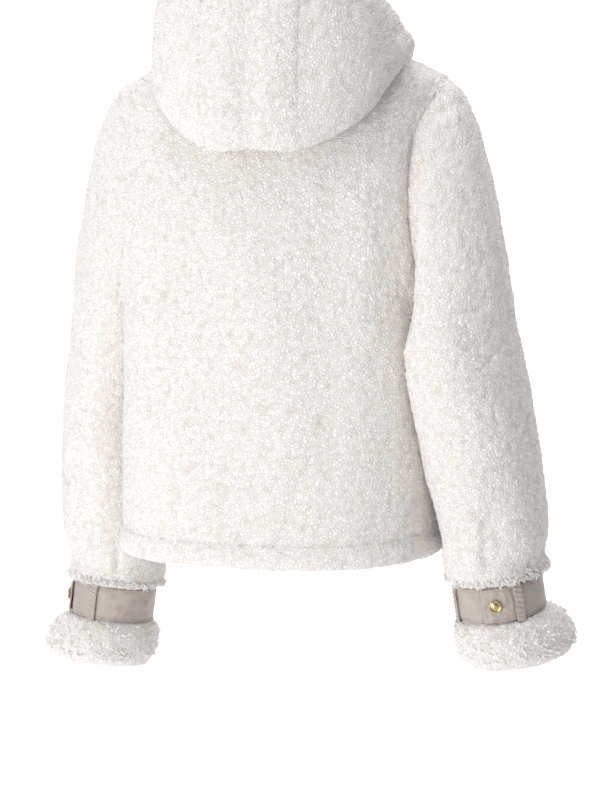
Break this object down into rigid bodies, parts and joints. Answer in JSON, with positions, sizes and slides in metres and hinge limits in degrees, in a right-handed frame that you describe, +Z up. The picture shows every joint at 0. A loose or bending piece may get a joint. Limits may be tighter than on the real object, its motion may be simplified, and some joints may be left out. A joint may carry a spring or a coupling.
{
  "type": "sherpa jacket",
  "caption": "Hooded sherpa jacket, worn open-necked with the hood down, with flared cuffs under nylon straps and a snap-fastened front.",
  "frame": {"origin": "between the shoulders, level with the highest point of the right shoulder", "axes": "+Z up, +Y out of the back, +X to the wearer's left"},
  "size_m": [0.6985, 0.3674, 0.8739],
  "materials": {
    "sherpa": "curly white pile on a knitted backing",
    "nylon": "taupe woven nylon with a slight sheen",
    "gold_plated_brass": "polished"
  },
  "bodies": {
    "root": {"back_panel": "sherpa", "front_left": "sherpa", "front_right": "sherpa", "hem_band": "sherpa", "sleeve_left": "sherpa", "sleeve_right": "sherpa", "cuff_left": "sherpa", "cuff_right": "sherpa", "hood_centre": "sherpa", "hood_left": "sherpa", "hood_right": "sherpa", "cuff_strap_left": "nylon", "cuff_strap_right": "nylon", "belt_loop_left_1": "nylon", "belt_loop_left_2": "nylon", "belt_loop_right_1": "nylon", "belt_loop_right_2": "nylon", "cuff_snap_left": "gold_plated_brass", "cuff_snap_right": "gold_plated_brass", "front_snap_1": "gold_plated_brass", "front_snap_2": "gold_plated_brass", "front_snap_3": "gold_plated_brass", "front_snap_4": "gold_plated_brass", "front_snap_5": "gold_plated_brass"}
  },
  "joints": []
}
